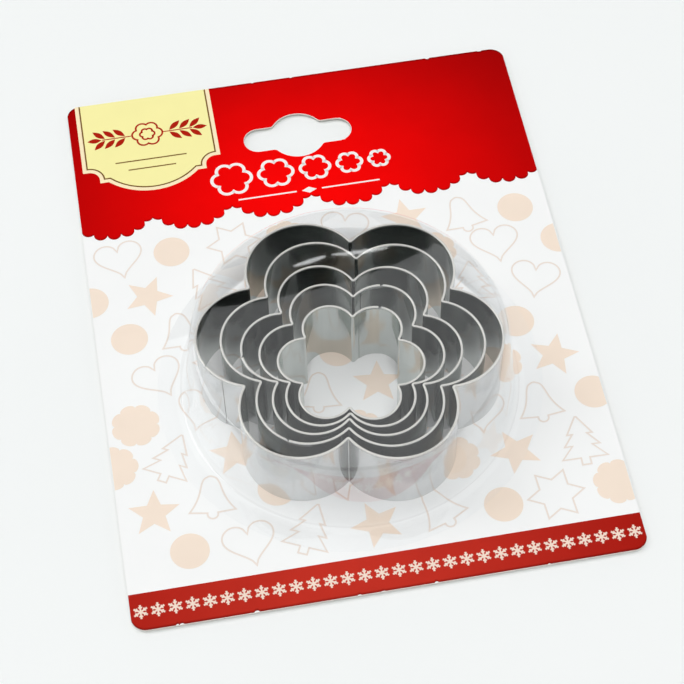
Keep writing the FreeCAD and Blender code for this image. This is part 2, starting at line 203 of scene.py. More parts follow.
def add_piece(name, points, faces, finish):
    """Mesh object from points in millimetres and a list of faces, with one finish."""
    mesh = bpy.data.meshes.new(name)
    mesh.from_pydata((np.asarray(points) * MM).tolist(), [], faces)
    mesh.materials.append(finish)
    piece = bpy.data.objects.new(name, mesh)
    bpy.context.scene.collection.objects.link(piece)
    return piece


def mark_points(piece, name, values):
    """Keep one value for each point of the mesh, for its finish to read."""
    piece.data.attributes.new(name, "FLOAT", "POINT").data.foreach_set("value", values.astype(np.float32))


def add_print(name, points, faces, level, finish):
    """Printed layer: flat shapes a little above the card, given the thickness of ink, riding on the card."""
    flat = np.column_stack([points, np.full(len(points), INK_LEVEL + level * INK_STEP)])
    piece = add_piece(name, flat, faces, finish)
    ink = piece.modifiers.new("ink", "SOLIDIFY")
    ink.thickness = INK_THICK * MM
    ink.offset = -1.0
    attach(piece, "card")
    return piece


def chips(along, seed):
    """Width of bare board along a cut edge: a hair's breadth, and a few nicks at random places, each a flat-topped
    bell, depth * exp(-((x - place) / length) ** 4)."""
    draw = np.random.default_rng(seed)
    place = draw.uniform(-1, 1, NICKS) * CARD_WIDTH / 2
    length = draw.uniform(*NICK_LENGTH, NICKS)
    depth = draw.uniform(*NICK_DEPTH, NICKS)
    return HAIR_BARE + (depth * np.exp(-(((along[:, None] - place) / length) ** 4))).max(axis=1)


def circle_height(radius, away):
    """Height of a circle over its middle, away from it: sqrt(radius ** 2 - away ** 2), and 0 outside."""
    return np.sqrt(np.maximum(radius ** 2 - away ** 2, 0))


def card_half_height(x):
    """Height of the card's outline over its middle: flat, then the quarter circle of the corner."""
    past = np.maximum(np.abs(x) - (CARD_WIDTH / 2 - CARD_CORNER), 0)
    return CARD_HEIGHT / 2 - CARD_CORNER + circle_height(CARD_CORNER, past)


def slot_half_height(x, bare):
    """Half height of the hang slot, widened by the bare rim: the bulge's circle, the rounded inner corner,
    the straight band and the band's round end, each a circle's height over x."""
    side = np.abs(x)
    corner_y = SLOT_BAND + SLOT_ROUND
    corner_x = np.sqrt((SLOT_BULGE + SLOT_ROUND) ** 2 - corner_y ** 2)
    bulge_x = corner_x * SLOT_BULGE / (SLOT_BULGE + SLOT_ROUND)
    return np.select(
        [side < bulge_x, side < corner_x, side < SLOT_END, side < SLOT_END + SLOT_BAND + bare],
        [
            circle_height(SLOT_BULGE + bare, side),
            corner_y - circle_height(SLOT_ROUND - bare, side - corner_x),
            SLOT_BAND + bare,
            circle_height(SLOT_BAND + bare, side - SLOT_END),
        ],
        0.0,
    )


def lace_edge(x):
    """Lower edge of the header: in each swag, one pitch long, seven round lobes hang in a bow from peak to peak.
    The edge is the lowest of the lobes' circles over x, y = height - sqrt(radius ** 2 - (x - middle) ** 2)."""
    along = (x - LACE_PEAK_X) % LACE_PITCH
    along = np.minimum(along, LACE_PITCH - along)
    middle, height = np.array(LACE_LOBES).T[:, :, None]
    away = along - middle
    return np.where(np.abs(away) < LACE_LOBE, height - circle_height(LACE_LOBE, away), CARD_HEIGHT).min(axis=0)


def map_range(tree, value, start, end, low=0.0, high=1.0, easing="LINEAR"):
    """Value from start to end turned into low to high, and held beyond both."""
    inputs = {"Value": value, "From Min": start, "From Max": end, "To Min": low, "To Max": high}
    return add_node(tree, "ShaderNodeMapRange", inputs, interpolation_type=easing).outputs["Result"]


def glowing(tree, colour, deep, middle):
    """Ink that turns from its colour at a middle into a deeper one at an ellipse round it, by a smooth cubic."""
    place = tree.nodes.new("ShaderNodeTexCoord").outputs["Object"]
    location = (middle[0] * MM, middle[1] * MM, 0.0)
    reach = (GLOW_REACH[0] * MM, GLOW_REACH[1] * MM, 1.0)
    inputs = {"Vector": place, "Location": location, "Scale": reach}
    lay = add_node(tree, "ShaderNodeMapping", inputs, vector_type="TEXTURE").outputs["Vector"]
    ball = add_node(tree, "ShaderNodeTexGradient", {"Vector": lay}, gradient_type="SPHERICAL").outputs["Fac"]
    return mix(tree, map_range(tree, ball, 0.0, 1.0, easing="SMOOTHSTEP"), deep, colour)


def ink_finish(name, colour, mottle, specks=0.0, shine=PAPER_SHINE, glow=None):
    """Matt ink on the coating. A big band's ink has a glow, a deeper colour and a middle in millimetres, and painted
    shade: a darker rim where the mesh's own distance from its outer edge, in millimetres, is small."""
    finish, tree, shader = new_finish(name, {"Specular IOR Level": 0.03})
    ink = glowing(tree, colour, *glow) if glow else colour
    seen = place_print(tree, shader, ink, mottle, specks, shine)
    if glow:
        away = add_node(tree, "ShaderNodeAttribute", attribute_name="from_edge").outputs["Fac"]
        # Painted shade: the ink darkens in a thin rim along the card's top and bottom edges and the lace.
        rim = map_range(tree, away, 0.0, RIM_WIDTH, RIM_DEPTH, 0.0, "SMOOTHSTEP")
        seen = mix(tree, rim, seen, RIM_SHADE_TONE, "MULTIPLY")
    feed(tree, shader, {"Base Color": seen})
    return finish


def column_band(x, low, high):
    """Two rows of points, one pair for each column x, and the quads between them."""
    points = np.concatenate([np.column_stack([x, low]), np.column_stack([x, high])])
    return points, grid_quads(2, len(x))


columns = np.linspace(-1, 1, PRINT_COLUMNS) * (CARD_WIDTH / 2 - SIDE_BARE)
slot_bare = np.minimum(SIDE_BARE + SLOT_CHIPS * chips(columns, SLOT_SEED), SLOT_BARE_MOST)
slot_half = slot_half_height(columns, slot_bare)
slot_top, slot_foot, lace = SLOT_Y + slot_half, SLOT_Y - slot_half, lace_edge(columns)
top_edge = card_half_height(columns) - chips(columns, TOP_SEED)
foot_edge = -card_half_height(columns) + chips(columns, FOOT_SEED)
above, above_quads = column_band(columns, slot_top, top_edge)
below, below_quads = column_band(columns, lace, slot_foot)
foot, foot_quads = column_band(columns, foot_edge, np.full(len(columns), FOOT_TOP))
header_quads = np.concatenate([above_quads, below_quads + len(above)])
at_edge = np.zeros(len(columns))
header_red = ink_finish(
    "header_red_ink", srgb(253, 2, 2), mottle=0.12, specks=0.8, shine=0.34, glow=(srgb(146, 0, 1), HEADER_GLOW)
)
header = add_print("header_print", np.concatenate([above, below]), header_quads.tolist(), 0, header_red)
mark_points(header, "from_edge", np.concatenate([top_edge - slot_top, at_edge, at_edge, slot_foot - lace]))
footer_red = ink_finish(
    "footer_red_ink", srgb(194, 49, 36), mottle=0.14, specks=0.8, glow=(srgb(158, 12, 5), FOOTER_GLOW)
)
footer = add_print("footer_print", foot, foot_quads.tolist(), 0, footer_red)
mark_points(footer, "from_edge", np.concatenate([at_edge, FOOT_TOP - foot_edge]))


# Label field: a cream plaque with scooped lower corners and a round foot, printed over the header's left end.
# A paler band and a brown line follow its edge up to the card's; in its middle a plain flower between two sprigs,
# and two rules.
PLAQUE_X, PLAQUE_HALF, PLAQUE_FOOT, PLAQUE_BAND, PLAQUE_LINE = -43.77, 20.25, 51.8, 1.35, 0.42
SCOOP_X, SCOOP_Y, SCOOP_RADIUS, FOOT_HALF, FOOT_Y = 18.67, 58.4, 3.05, 13.1, 57.05
PLAQUE_TOP, CORNER_LIMIT = CARD_HEIGHT / 2 - 0.08, -0.6
ARC_POINTS, SCOOP_POINTS, LEAF_POINTS = 25, 14, 17
ORNAMENT_Y, SPRIG_STALKS, STALK_STEP = 73.2, (6.4, 9.4, 12.4), (0.2, 0.35)
LEAF_LENGTH, LEAF_WIDTH, LEAF_TURN, TIP_LENGTH, TIP_X = 4.6, 1.7, 0.75, 4.2, 13.6
STEM_LENGTH, STEM_WIDTH, STEM_X = 8.6, 0.34, 9.1
LABEL_FLOWERS, LABEL_LINE = ((9.0, 1.85), (4.4, 0.9)), 0.55
LABEL_RULES, LABEL_RULE = ((21.0, 63.6), (14.0, 60.4)), 0.42


def add_shapes(name, outlines, level, finish):
    """One many-sided face for each closed outline of points in millimetres."""
    starts = np.cumsum([0] + [len(outline) for outline in outlines])
    faces = [list(range(low, high)) for low, high in zip(starts[:-1], starts[1:])]
    return add_print(name, np.concatenate(outlines), faces, level, finish)


def inset(outline, distance):
    """Closed counter-clockwise outline moved inwards: each corner slides along the mean of its two edges' normals,
    divided by one plus their product so that both edges move by the whole distance. The product has a least value,
    so that a sharp corner doesn't run far out."""
    edge = np.roll(outline, -1, axis=0) - outline
    normal = np.column_stack([-edge[:, 1], edge[:, 0]]) / np.linalg.norm(edge, axis=1)[:, None]
    before = np.roll(normal, 1, axis=0)
    product = np.maximum((normal * before).sum(axis=1), CORNER_LIMIT)
    return outline + distance * (normal + before) / (1 + product)[:, None]


def add_lines(name, outlines, width, level, finish):
    """Printed line along each closed outline: quads between the outline moved out and in by half the width."""
    points, faces, start = [], [], 0
    for outline in outlines:
        points += [inset(outline, -width / 2), inset(outline, width / 2)]
        faces.append(grid_quads(2, len(outline), close_columns=True) + start)
        start += 2 * len(outline)
    return add_print(name, np.concatenate(points), np.concatenate(faces).tolist(), level, finish)


def spin(angle):
    """Matrix that turns rows of x and y, standing at its left in the product, by an angle in radians."""
    return np.array([(np.cos(angle), np.sin(angle)), (-np.sin(angle), np.cos(angle))])


def polar(radius, turn):
    """Points at a radius, one for all or one for each angle."""
    return np.column_stack([radius * np.cos(turn), radius * np.sin(turn)])


def full_turn(samples):
    """Angles once round, without the last, which is the first again."""
    return np.linspace(0, 2 * np.pi, samples, endpoint=False)


def flower_outline(across, petal, petals=6, samples=144):
    """Flower of round petals: along each ray the far crossing with the nearest petal's circle,
    R cos(a) + sqrt(p * p - (R sin(a)) ** 2), where R is the ring of petal centres and a the angle off its axis."""
    ray = full_turn(samples) + np.pi / petals
    off = (ray + np.pi / petals) % (2 * np.pi / petals) - np.pi / petals
    ring = across / 2 - petal
    return polar(ring * np.cos(off) + circle_height(petal, ring * np.sin(off)), ray)


def plaque_outline(top):
    """Right half from the foot up: arc of the foot, ledge, step, scooped quarter circle, ledge, side up to the top;
    the left half mirrors it, and the outline starts at the top left."""
    sag = FOOT_Y - PLAQUE_FOOT
    radius = (FOOT_HALF ** 2 + sag ** 2) / (2 * sag)
    x = np.linspace(0, FOOT_HALF, ARC_POINTS)[1:]
    arc = np.column_stack([x, PLAQUE_FOOT + radius - circle_height(radius, x)])
    scoop = polar(SCOOP_RADIUS, np.linspace(np.pi, np.pi / 2, SCOOP_POINTS)) + (SCOOP_X, SCOOP_Y)
    step = [(SCOOP_X - SCOOP_RADIUS, FOOT_Y)]
    side = [(PLAQUE_HALF, SCOOP_Y + SCOOP_RADIUS), (PLAQUE_HALF, top)]
    right = np.concatenate([arc, step, scoop, side])
    left = right[::-1] * (-1, 1)
    return np.concatenate([left, [(0, PLAQUE_FOOT)], right]) + (PLAQUE_X, 0)


def leaf_outline(length, turn):
    """Almond leaf: half its width times sin(pi t) to each side along its length t, turned about its stalk."""
    t = np.linspace(0, 1, LEAF_POINTS)
    half = LEAF_WIDTH / 2 * np.sin(np.pi * t)
    upper = np.column_stack([t * length, half])[1:-1]
    lower = np.column_stack([t * length, -half])
    return np.concatenate([lower, upper[::-1]]) @ spin(turn)


def bar_outline(length, height):
    """Rectangle about the middle, its length along x."""
    return np.array([(-1, -1), (1, -1), (1, 1), (-1, 1)]) * (length / 2, height / 2)


tall_plaque = plaque_outline(PLAQUE_TOP + PLAQUE_BAND)
band_ink = ink_finish("pale_cream_ink", srgb(253, 236, 196), mottle=0.05, specks=0.2)
cream_ink = ink_finish("cream_ink", srgb(250, 243, 170), mottle=0.05, specks=0.2)
brown_ink = ink_finish("brown_ink", srgb(120, 84, 36), mottle=0.2)
russet_ink = ink_finish("russet_ink", srgb(176, 30, 14), mottle=0.2)
add_shapes("label_band", [plaque_outline(PLAQUE_TOP)], 1, band_ink)
add_shapes("label_field", [inset(tall_plaque, PLAQUE_BAND)], 2, cream_ink)
line_edges = [
    np.minimum(inset(tall_plaque, PLAQUE_BAND + side * PLAQUE_LINE / 2), (CARD_WIDTH, PLAQUE_TOP)) for side in (-1, 1)
]
line_quads = grid_quads(2, len(tall_plaque))
add_print("label_border", np.concatenate(line_edges), line_quads.tolist(), 3, brown_ink)
ornament_at = np.array((PLAQUE_X, ORNAMENT_Y))
sprig = [
    leaf_outline(LEAF_LENGTH, side * LEAF_TURN) + (x + STALK_STEP[0], side * STALK_STEP[1])
    for x in SPRIG_STALKS for side in (1, -1)
]
sprig.append(leaf_outline(TIP_LENGTH, 0.0) + (TIP_X, 0))
sprig.append(bar_outline(STEM_LENGTH, STEM_WIDTH) + (STEM_X, 0))
sprigs = sprig + [shape[::-1] * (-1, 1) for shape in sprig]
add_shapes("label_sprigs", [shape + ornament_at for shape in sprigs], 3, russet_ink)
label_flowers = [flower_outline(*sizes) + ornament_at for sizes in LABEL_FLOWERS]
add_lines("label_flower", label_flowers, LABEL_LINE, 3, russet_ink)
label_rules = [bar_outline(length, LABEL_RULE) + (PLAQUE_X, y) for length, y in LABEL_RULES]
add_shapes("label_rules", label_rules, 3, brown_ink)


# White print on the header: a row of five flower outlines, one for each size in the pack, over a fine rule
# with a lozenge in its middle. The white is left open in the red, so it has the board's own tint.
TITLE_FLOWERS = ((11.6, -21.6), (10.1, -8.6), (8.7, 3.0), (7.3, 13.2), (6.0, 22.0))
TITLE_LINE, TITLE_PETAL, TITLE_Y = 0.95, 0.2, 51.6
RULE_LENGTH, RULE_THICK, RULE_X, RULE_Y, LOZENGE_HALF = 17.0, 0.5, 12.2, 43.6, (2.2, 1.1)
open_white = ink_finish("open_white", srgb(248, 243, 240), mottle=0.04)
title_row = [flower_outline(across, across * TITLE_PETAL) + (x, TITLE_Y) for across, x in TITLE_FLOWERS]
add_lines("header_flowers", title_row, TITLE_LINE, 1, open_white)
rule = bar_outline(RULE_LENGTH, RULE_THICK)
lozenge = np.array([(-1, 0), (0, -1), (1, 0), (0, 1)]) * LOZENGE_HALF
add_shapes("header_rule", [rule + (-RULE_X, RULE_Y), lozenge + (0, RULE_Y), rule + (RULE_X, RULE_Y)], 1, open_white)


# Row of snowflakes: thirty small six-armed flakes along the red band, a common winter ornament,
# left open in the red ink and slightly creamy.
FLAKES, FLAKE_PITCH, FLAKE_Y = 30, 4.4, -82.2
FLAKE_HALF_ARM = ((0.4, 0.23), (0.9, 0.23), (1.24, 0.58), (1.5, 0.4), (1.36, 0.23), (1.95, 0.27))


def flake_outline():
    """One arm's half from the hub out, mirrored about the arm, and the arm repeated six times:
    hub corner, arm side, the two sides of a barb, arm side again, tip."""
    half = np.array(FLAKE_HALF_ARM)
    arm = np.concatenate([half[1:] * (1, -1), half[::-1]])
    return np.concatenate([arm @ spin(np.pi / 2 + number * np.pi / 3) for number in range(6)])


flakes = [flake_outline() + ((number - (FLAKES - 1) / 2) * FLAKE_PITCH, FLAKE_Y) for number in range(FLAKES)]
add_shapes("snowflake_row", flakes, 1, ink_finish("flake_white", srgb(243, 222, 206), mottle=0.05))


# Scattered biscuit shapes on the white of the card: stars, rounds and blossoms in flat pale peach,
# hearts, six-pointed stars, fir trees and bells as thin outlines. Common shapes, in rows set off from each other.
MOTIF_LINE, MOTIF_PITCH, MOTIF_TURN, MOTIF_SHIFT, MOTIF_SEED = 0.48, 16.4, 0.5, 1.3, 7
PRINT_HALF = CARD_WIDTH / 2 - 0.12


def star_outline(points, inner):
    """Corners alternately on the unit circle and on the inner circle, the first at the top."""
    number = np.arange(2 * points)
    return polar(np.where(number % 2 == 0, 1.0, inner), np.pi / 2 + number * np.pi / points)


def blossom_outline(lobes=8, samples=160):
    """Scalloped round: radius 0.85 plus 0.15 times the square root of |cos| of half the lobe angle."""
    turn = full_turn(samples)
    return polar(0.85 + 0.15 * np.sqrt(np.abs(np.cos(turn * lobes / 2))), turn)


def heart_outline(samples=30):
    """Heart curve: x = 16 sin(t) ** 3 and y = 13 cos(t) - 5 cos(2t) - 2 cos(3t) - cos(4t) + 2, over 17; near its
    notch and its tip the curve is replaced by straight runs to the one corner point."""
    half = np.concatenate([[0.0], np.linspace(0.5, np.pi - 0.5, samples)])
    t = -np.concatenate([half, half + np.pi])
    y = 13 * np.cos(t) - 5 * np.cos(2 * t) - 2 * np.cos(3 * t) - np.cos(4 * t)
    return np.column_stack([16 * np.sin(t) ** 3, y + 2]) / 17


def mirrored(right):
    """Closed outline from its right half, given from the bottom up."""
    right = np.array(right)
    return np.concatenate([right, right[::-1] * (-1, 1)])


def fir_outline():
    """Fir tree: trunk, then three tiers of branches, each narrower than the one below."""
    trunk = [(0.16, -1.0), (0.16, -0.72)]
    tiers = [(0.82, -0.72), (0.36, -0.2), (0.64, -0.2), (0.27, 0.28), (0.46, 0.28), (0.03, 1.0)]
    return mirrored(trunk + tiers)


def bell_outline(samples=18):
    """Bell: from the lip up, half width (0.36 + 0.5 (1 - t) ** 2.4) * sqrt(1 - 0.985 t ** 7), whose root rounds
    the crown; a round clapper hangs below."""
    t = np.linspace(0, 1, samples)
    side = np.column_stack([(0.36 + 0.5 * (1 - t) ** 2.4) * np.sqrt(1 - 0.985 * t ** 7), -0.62 + 1.5 * t])
    clapper = polar(0.2, np.linspace(-np.pi / 2 + 0.1, 0.25, 7)) + (0, -0.74)
    return mirrored(np.concatenate([clapper, side]))


FILLED = {
    "star": (star_outline(5, 0.44), 7.0),
    "round": (polar(1.0, full_turn(56)), 5.1),
    "blossom": (blossom_outline(), 6.6),
}
LINED = {
    "heart": (heart_outline(), 7.2),
    "star_six": (star_outline(6, 0.58), 7.6),
    "fir": (fir_outline(), 7.4),
    "bell": (bell_outline(), 7.0),
}
ROWS = (
    # height, first motif's place along the row, motifs from left to right
    (27.6, -58.0, "heart round star_six blossom heart star bell round"),
    (14.4, -50.5, "star fir round heart star_six blossom heart star"),
    (1.2, -58.2, "round bell blossom star star_six round fir heart"),
    (-12.4, -51.0, "heart star_six fir round heart star_six round bell"),
    (-26.0, -58.4, "blossom heart round bell star fir blossom star"),
    (-39.8, -50.8, "fir star heart blossom round heart bell round"),
    (-53.6, -58.2, "star bell round star_six heart blossom star fir"),
    (-67.2, -50.6, "round heart fir star bell round star_six blossom"),
)
EDGE_MOTIFS = ((-66.6, 14.9, "round"), (-66.0, -39.4, "blossom"), (66.8, 13.6, "round"))


def cut_at_edge(shape):
    """Shape cut off along the card's left and right edges."""
    return np.column_stack([np.clip(shape[:, 0], -PRINT_HALF, PRINT_HALF), shape[:, 1]])


jitter = np.random.default_rng(MOTIF_SEED)
filled, lined = [], []
for y, first, kinds in ROWS:
    for column, kind in enumerate(kinds.split()):
        outline, size = {**FILLED, **LINED}[kind]
        turn = jitter.uniform(-MOTIF_TURN, MOTIF_TURN)
        x_shift, y_shift = jitter.uniform(-MOTIF_SHIFT, MOTIF_SHIFT, 2)
        shape = outline @ spin(turn) * size + (first + column * MOTIF_PITCH + x_shift, y + y_shift)
        if kind in ("round", "blossom"):
            shape = cut_at_edge(shape)
        if np.abs(shape[:, 0]).max() <= PRINT_HALF:
            (filled if kind in FILLED else lined).append(shape)
for x, y, kind in EDGE_MOTIFS:
    outline, size = FILLED[kind]
    filled.append(cut_at_edge(outline * size + (x, y)))
add_shapes("filled_motifs", filled, 0, ink_finish("peach_ink", srgb(246, 229, 212), mottle=0.06))
add_lines("outlined_motifs", lined, MOTIF_LINE, 0, ink_finish("peach_line_ink", srgb(236, 226, 217), mottle=0.06))


# Five flower cutters: bright rolled steel strip, bent round six petals with tight notches between them, the free end
# lapped over the start and spot-welded. They stand loose one inside the other; the sheared edges stay pale.
STRIP_THICK, STRIP_HEIGHT, EDGE_ROUND, NOTCH_BEND, BEAD, NECK = 0.5, 21.7, 0.11, 0.2, 0.34, 0.4
LAP_LENGTH, LAP_EASE, LAP_GAP, LAP_THICK, LAP_DROP, DROP_POWER = 6.0, 0.9, 0.02, 0.12, 0.3, 8
PETALS, STAND = 6, 0.54
PETAL_POINTS, NOTCH_POINTS, START_POINTS, END_POINTS = 57, 13, 30, 64
CORNER_POINTS, NECK_POINTS, BEAD_POINTS = 5, 6, 6
CUTTERS = (
    # across, petal radius, first petal's direction, middle, petal with the lap, lap's share of the half petal, side
    (81.0, 15.8, 49.5, (0.0, -23.7), 2, 0.74, 1),
    (69.5, 13.7, 47.9, (0.631, -25.224), 3, 0.45, 1),
    (58.0, 11.0, 48.6, (-0.095, -27.459), 2, 0.60, 1),
    (48.5, 9.3, 48.8, (-0.308, -29.196), 0, 0.85, -1),
    (38.5, 7.2, 48.4, (-0.889, -31.525), 0, 0.85, -1),
)
STEEL_DARK, STEEL_LIGHT = (0.565, 0.576, 0.58, 1.0), (0.765, 0.778, 0.784, 1.0)
# Painted shade: the inner faces' darker greenish tone, and the darker colours walls take in mirror bounces.
INNER_SHADE_TONE = (0.79, 0.82, 0.79, 1.0)
MIRROR_SHADE_OUTER, MIRROR_SHADE_INNER = (0.48, 0.495, 0.48, 1.0), (0.97, 1.0, 0.965, 1.0)
WELD_GREY, SHEARED_PALE = (0.36, 0.36, 0.35, 1.0), (0.76, 0.75, 0.71, 1.0)
OUTER_METAL, SHEARED_METAL, SHEARED_ROUGHNESS = 0.82, 0.3, 0.45
WELDS, WELD_EDGE, WELD_CORE, WELD_STRENGTH = ((0.3, 0.6, 0.0), (0.3, 1.57, 0.0)), 0.13, 0.08, 0.12
ROLLED_LINES, BRUSH_SMEARS, SMUDGE_SCALE, LINES_SHARE = (0.25, 38.0, 1.0), (3.6, 0.3, 1.0), 120.0, 1.3
MARKS_RANGE, SMUDGE_RANGE, STEEL_ROUGHNESS = (1.0, 2.3), (0.3, 0.75), (0.1, 0.18)
SHEARED_SLOPE, PAST_LAP, LINES_RELIEF, LINES_DEPTH = (0.15, 0.5), (0.55, 0.75), 0.1, 0.01


def smooth(t):
    """Smooth cubic from 0 to 1: t * t * (3 - 2 t)."""
    return t ** 2 * (3 - 2 * t)


def strip_line(across, petal, turn, middle, lap_petal, lap_share, lap_side):
    """Middle line of one bent strip, its outward normals, its thickness and its length so far. Petal arcs lie on
    circles round the six petal centres, notch arcs on small circles outside them; the line starts under the lap,
    runs round the flower and steps over its own start, eased by a smooth cubic, while the strip thins."""
    ring = across / 2 - petal
    half = np.pi / PETALS
    reach = petal + NOTCH_BEND
    notch_at = ring * np.cos(half) + np.sqrt(reach ** 2 - (ring * np.sin(half)) ** 2)
    wide = half + np.arcsin(ring * np.sin(half) / reach)
    end = lap_share * wide
    far = end - LAP_LENGTH / petal
    eased = far - LAP_EASE / petal
    arc_radius = petal - STRIP_THICK / 2
    notch_radius = NOTCH_BEND + STRIP_THICK / 2

    def turned(points, number):
        """Points of the first petal turned to the place of a later one."""
        return points @ spin(np.radians(turn) + 2 * half * number)

    def petal_arc(number, angles):
        """Arc round one petal's centre; the last one rises over the strip's start."""
        rise = smooth(np.clip((angles - eased) / (far - eased), 0, 1) * (number == lap_petal + PETALS))
        lift = lap_side * rise * (STRIP_THICK / 2 + LAP_GAP + LAP_THICK / 2)
        out = polar(1.0, angles)
        line = out * (arc_radius + lift)[:, None] + (ring, 0)
        return turned(line, number), turned(out, number), STRIP_THICK - rise * (STRIP_THICK - LAP_THICK)

    def notch_arc(number):
        """Small arc that bends the strip from one petal into the next."""
        angles = np.linspace(np.pi + wide, np.pi + half - (wide - half), NOTCH_POINTS)[1:-1]
        out = polar(1.0, angles)
        centre = notch_at * np.array((np.cos(half), np.sin(half)))
        return turned(out * notch_radius + centre, number), turned(-out, number), np.full(len(angles), STRIP_THICK)

    parts = [petal_arc(lap_petal, np.linspace(far, wide, START_POINTS)), notch_arc(lap_petal)]
    for number in range(lap_petal + 1, lap_petal + PETALS):
        parts += [petal_arc(number, np.linspace(-wide, wide, PETAL_POINTS)), notch_arc(number)]
    parts.append(petal_arc(lap_petal + PETALS, np.linspace(-wide, end, END_POINTS)))
    points, normals, thick = (np.concatenate(part) for part in zip(*parts))
    steps = np.linalg.norm(np.diff(points, axis=0), axis=1)
    return points + middle, normals, thick, np.concatenate([[0], np.cumsum(steps)])


def strip_section():
    """Section of the strip, counter-clockwise: straight sides, small round corners at the foot, and at the top
    a bead, a circle a little wider than the strip that the sides swell into by a smooth cubic. Columns: offset
    across the strip, height, and the two parts of the normal."""
    side = STRIP_THICK / 2
    foot = polar(1.0, np.linspace(-np.pi / 2, 0, CORNER_POINTS))
    foot = np.column_stack([foot * EDGE_ROUND + (side - EDGE_ROUND, EDGE_ROUND), foot])
    swell = np.linspace(0, 1, NECK_POINTS)
    bead_z = STRIP_HEIGHT - BEAD
    neck = np.column_stack([side + (BEAD - side) * smooth(swell), bead_z - NECK * (1 - swell)])
    lean = -(BEAD - side) * 6 * swell * (1 - swell) / NECK
    neck = np.column_stack([neck, np.column_stack([np.ones_like(lean), lean]) / np.hypot(1, lean)[:, None]])
    cap = polar(1.0, np.linspace(0, np.pi / 2, BEAD_POINTS)[1:])
    cap = np.column_stack([cap * BEAD + (0, bead_z), cap])
    right = np.concatenate([foot, neck, cap])
    return np.concatenate([right, right[-2::-1] * (-1, 1, -1, 1)])


def add_strip(number, layout, finish):
    """Section carried along the strip's line: point = line + offset * outward normal + height, closed by two ends.
    The thinned lap's top edge sinks a little, with a high power of the height. The UV map gives the distance
    from the free end and the height, in centimetres."""
    line, outward, thick, along = strip_line(*layout)
    section = strip_section()
    rows, columns = len(line), len(section)
    offset = section[None, :, 0] * thick[:, None] / STRIP_THICK
    flat = line[:, None, :] + offset[:, :, None] * outward[:, None, :]
    drop = LAP_DROP * (STRIP_THICK - thick) / (STRIP_THICK - LAP_THICK)
    height = STAND + section[None, :, 1] - drop[:, None] * (section[None, :, 1] / STRIP_HEIGHT) ** DROP_POWER
    points = np.concatenate([flat, height[:, :, None]], axis=-1).reshape(-1, 3)
    level = section[None, :, 2, None] * outward[:, None, :]
    upright = np.broadcast_to(section[None, :, 3, None], (rows, columns, 1))
    normal = np.concatenate([level, upright], axis=-1).reshape(-1, 3)
    quads = grid_quads(rows, columns, close_columns=True)[:, ::-1]
    first_end = list(range(columns))
    free_end = list(range((rows - 1) * columns, rows * columns))[::-1]
    piece = add_piece(f"steel_flower_{number}", points, quads.tolist() + [first_end, free_end], finish)
    mesh = piece.data
    tangent = np.array([line[0] - line[1], line[-1] - line[-2]])
    tangent = np.column_stack([tangent / np.linalg.norm(tangent, axis=1)[:, None], (0, 0)])
    mesh.shade_smooth()
    corner_normals = np.concatenate([normal[quads.ravel()], np.repeat(tangent, columns, axis=0)])
    mesh.normals_split_custom_set(corner_normals.tolist())
    corner = np.concatenate([quads.ravel(), first_end, free_end])
    from_end = np.repeat(along[-1] - along, columns)
    uv = np.column_stack([from_end[corner], points[corner, 2] - STAND]) / 10
    mesh.uv_layers.new(name="along_strip").data.foreach_set("uv", uv.ravel().astype(np.float32))
    mark_points(piece, "inside", np.tile(section[:, 0] < 0, rows))
    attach(piece, f"cutter_{number}")
    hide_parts(f"flower_cutter_{number}")
    return piece


